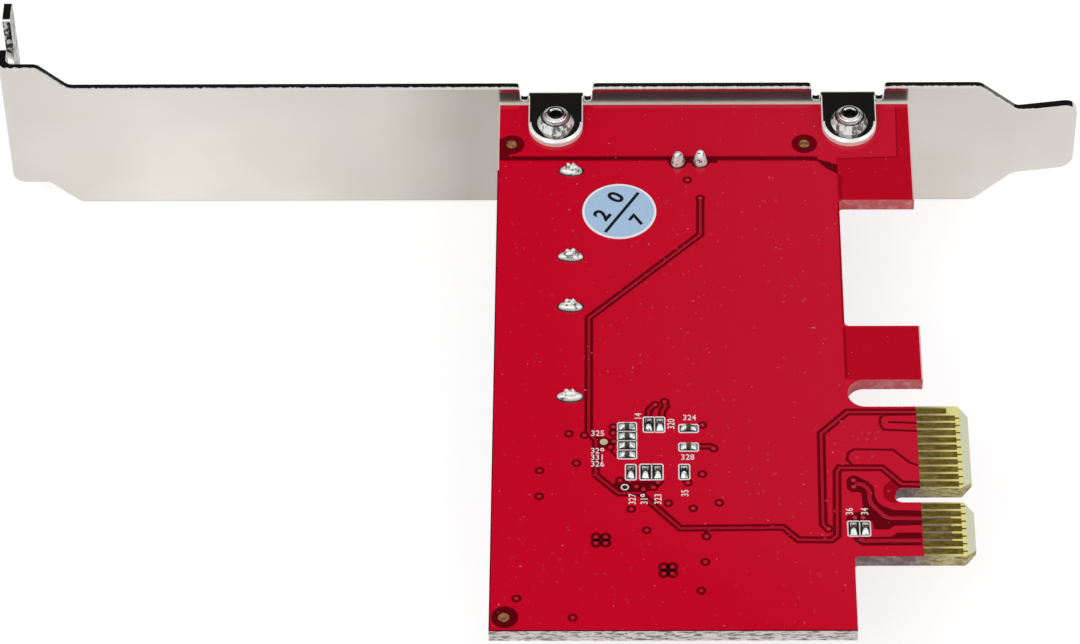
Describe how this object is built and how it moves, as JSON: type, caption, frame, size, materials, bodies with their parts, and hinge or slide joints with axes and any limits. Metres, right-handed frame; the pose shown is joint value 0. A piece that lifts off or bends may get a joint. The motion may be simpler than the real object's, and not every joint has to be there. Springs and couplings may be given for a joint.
{
  "type": "sata controller card",
  "caption": "Expansion card with SATA ports at its free edge, a short edge connector and a folded steel slot bracket.",
  "frame": {"origin": "Centre of the edge connector's key notch, at the connector's tip, in the middle of the board's thickness.", "axes": "+X out of the edge connector, +Y towards the slot bracket, +Z out of the solder side, which is the side the picture shows."},
  "size_m": [0.1215, 0.0865, 0.0217],
  "materials": {
    "solder_mask": "glossy crimson solder mask on glass fibre laminate",
    "gold_plating": "thin gold plating, satin",
    "bracket_steel": "nickel plated steel, faintly mottled",
    "screw_steel": "bright nickel plated screw",
    "port_plastic": "black moulded plastic",
    "port_metal": "gold flashed contact strip",
    "lock_metal": "tinned sheet",
    "solder": "bright solder",
    "header_plastic": "black moulded plastic",
    "chip_plastic": "black moulding compound",
    "lead_metal": "tinned lead frame",
    "crystal_ceramic": "ceramic base",
    "crystal_metal": "plain metal lid",
    "ferrite": "dark ferrite",
    "tantalum_body": "ochre moulded case",
    "capacitor_ceramic": "brown ceramic",
    "resistor_body": "black glazed film",
    "sticker_paper": "pale blue paper"
  },
  "bodies": {
    "root": {"circuit_board": "solder_mask", "edge_contacts_solder_side": "gold_plating", "edge_contacts_component_side": "gold_plating", "bracket": "bracket_steel", "bracket_screw_1": "screw_steel", "bracket_screw_2": "screw_steel", "sata_port_1": "port_plastic", "sata_port_2": "port_plastic", "port_contacts_1": "port_metal", "port_contacts_2": "port_metal", "port_locks": "lock_metal", "lock_joints": "solder", "header_base": "header_plastic", "header_pins": "gold_plating", "header_joints": "solder", "controller_chip": "chip_plastic", "controller_leads": "lead_metal", "flash_memory": "chip_plastic", "flash_leads": "lead_metal", "regulator": "chip_plastic", "regulator_leads": "lead_metal", "crystal_base": "crystal_ceramic", "crystal_lid": "crystal_metal", "inductor": "ferrite", "tantalum_capacitor": "tantalum_body", "tantalum_ends": "lead_metal", "capacitors_solder_side": "capacitor_ceramic", "resistors_solder_side": "resistor_body", "soldered_ends_solder_side": "solder", "capacitors_component_side": "capacitor_ceramic", "soldered_ends_component_side": "solder", "inspection_sticker": "sticker_paper", "fiducial_marks": "gold_plating"}
  },
  "joints": []
}
